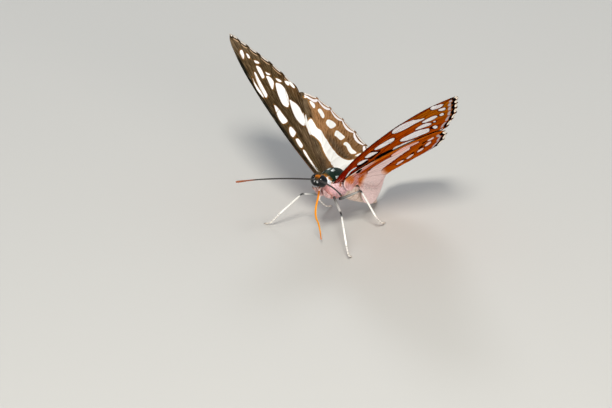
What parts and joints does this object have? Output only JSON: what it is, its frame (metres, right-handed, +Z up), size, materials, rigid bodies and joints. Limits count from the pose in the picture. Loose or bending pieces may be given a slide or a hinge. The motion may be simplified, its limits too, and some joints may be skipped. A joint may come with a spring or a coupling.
{
  "type": "butterfly",
  "caption": "Common sergeant butterfly at life size, standing on slender legs with its patterned wings half raised, feelers forward and tongue hanging down.",
  "frame": {"origin": "middle of the bounding box, on the floor under the feet", "axes": "+X is the butterfly's left, -Y the way it faces, +Z up"},
  "size_m": [0.0506, 0.0402, 0.0358],
  "materials": {
    "wing": "satin",
    "thorax": "satin",
    "abdomen": "matt",
    "head": "matt",
    "eye": "gloss",
    "antenna": "satin",
    "palp": "matt",
    "proboscis": "satin",
    "leg": "matt"
  },
  "bodies": {
    "root": {"abdomen": "abdomen", "antenna_left": "antenna", "antenna_right": "antenna", "eye_left": "eye", "eye_right": "eye", "foreleg_left": "leg", "foreleg_right": "leg", "forewing_left": "wing", "forewing_right": "wing", "head": "head", "hind_left_femur": "leg", "hind_left_tibia": "leg", "hind_left_tarsus": "leg", "hind_right_femur": "leg", "hind_right_tibia": "leg", "hind_right_tarsus": "leg", "hindwing_left": "wing", "hindwing_right": "wing", "mid_left_femur": "leg", "mid_left_tibia": "leg", "mid_left_tarsus": "leg", "mid_right_femur": "leg", "mid_right_tibia": "leg", "mid_right_tarsus": "leg", "palp_left": "palp", "palp_right": "palp", "proboscis": "proboscis", "thorax": "thorax"}
  },
  "joints": []
}
